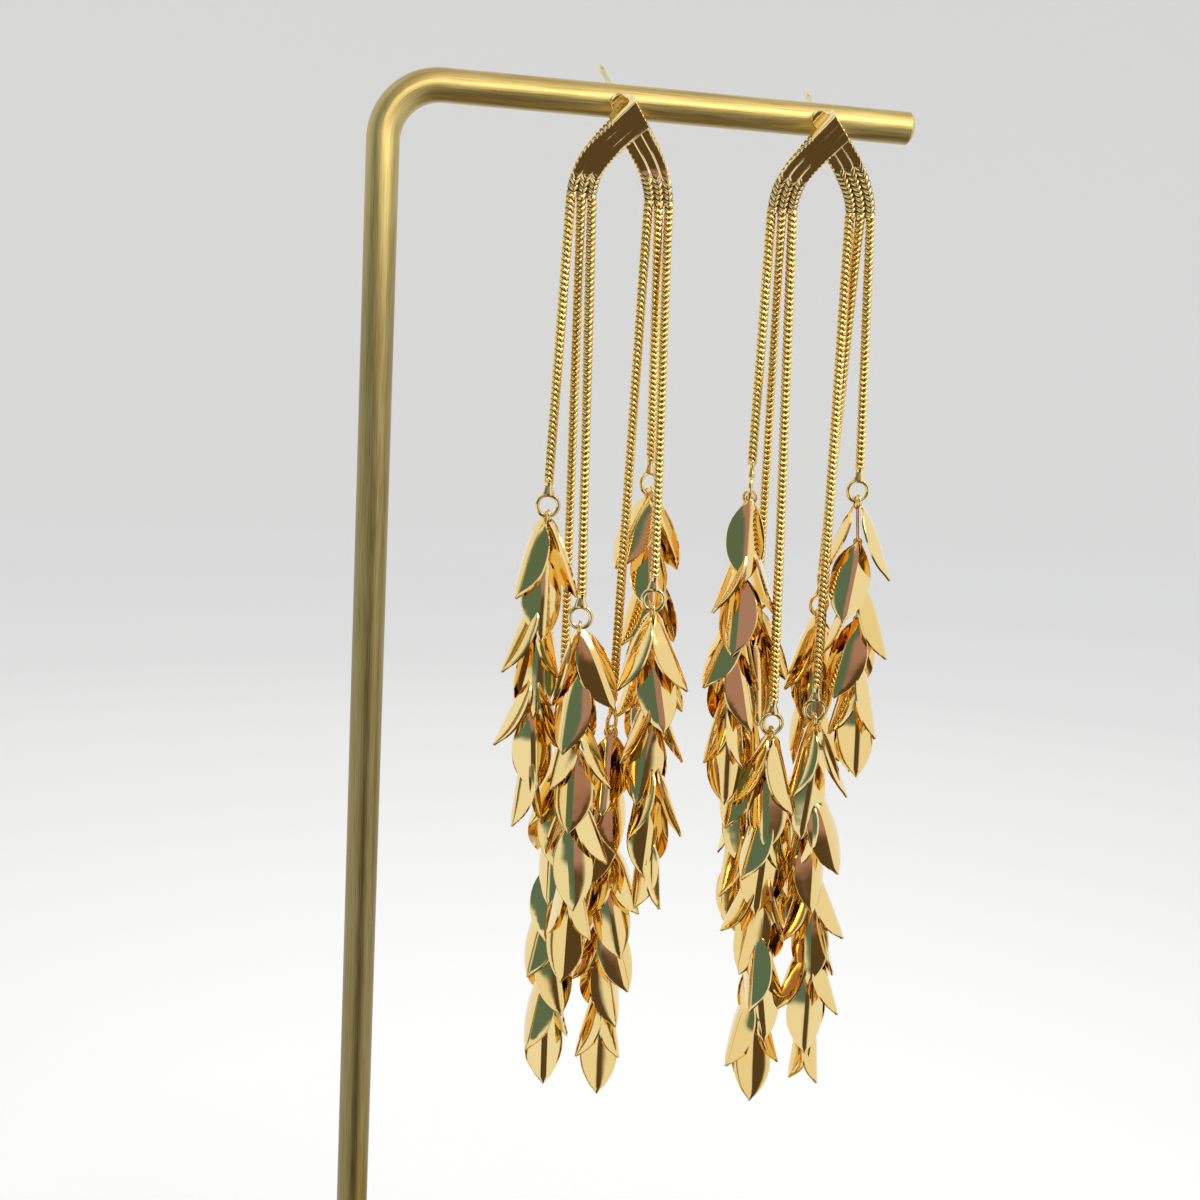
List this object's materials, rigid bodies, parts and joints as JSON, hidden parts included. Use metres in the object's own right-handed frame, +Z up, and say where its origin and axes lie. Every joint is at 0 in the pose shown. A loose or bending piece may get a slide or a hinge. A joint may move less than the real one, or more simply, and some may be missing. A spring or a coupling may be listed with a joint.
{
  "type": "pair of dangle earrings on a display stand",
  "caption": "Pair of long leaf-drop dangle earrings with crossed-band crowns and fine chains, hung by their posts on the arm of a bent-rod stand with a flat base.",
  "frame": {"origin": "middle of the base's underside, on the table", "axes": "+X along the arm from the upright to its free end, +Y towards the back, where the ear posts point, +Z up"},
  "size_m": [0.09, 0.06, 0.1859],
  "materials": {
    "brushed_brass": "satin, brushed along the rod",
    "polished_gold": "mirror-polished gold plate",
    "gold_snake_chain": "gold-plated snake chain",
    "gold_leaf": "mirror-polished gold plate"
  },
  "bodies": {
    "root": {"stand_base": "brushed_brass", "stand_rod": "brushed_brass", "earring_1_crown": "polished_gold", "earring_1_chain_l_short": "gold_snake_chain", "earring_1_ring_l_short": "polished_gold", "earring_1_leaves_l_short": "gold_leaf", "earring_1_chain_l_mid": "gold_snake_chain", "earring_1_ring_l_mid": "polished_gold", "earring_1_leaves_l_mid": "gold_leaf", "earring_1_chain_l_long": "gold_snake_chain", "earring_1_ring_l_long": "polished_gold", "earring_1_leaves_l_long": "gold_leaf", "earring_1_chain_r_long": "gold_snake_chain", "earring_1_ring_r_long": "polished_gold", "earring_1_leaves_r_long": "gold_leaf", "earring_1_chain_r_mid": "gold_snake_chain", "earring_1_ring_r_mid": "polished_gold", "earring_1_leaves_r_mid": "gold_leaf", "earring_1_chain_r_short": "gold_snake_chain", "earring_1_ring_r_short": "polished_gold", "earring_1_leaves_r_short": "gold_leaf", "earring_2_crown": "polished_gold", "earring_2_chain_l_short": "gold_snake_chain", "earring_2_ring_l_short": "polished_gold", "earring_2_leaves_l_short": "gold_leaf", "earring_2_chain_l_mid": "gold_snake_chain", "earring_2_ring_l_mid": "polished_gold", "earring_2_leaves_l_mid": "gold_leaf", "earring_2_chain_l_long": "gold_snake_chain", "earring_2_ring_l_long": "polished_gold", "earring_2_leaves_l_long": "gold_leaf", "earring_2_chain_r_long": "gold_snake_chain", "earring_2_ring_r_long": "polished_gold", "earring_2_leaves_r_long": "gold_leaf", "earring_2_chain_r_mid": "gold_snake_chain", "earring_2_ring_r_mid": "polished_gold", "earring_2_leaves_r_mid": "gold_leaf", "earring_2_chain_r_short": "gold_snake_chain", "earring_2_ring_r_short": "polished_gold", "earring_2_leaves_r_short": "gold_leaf"}
  },
  "joints": []
}
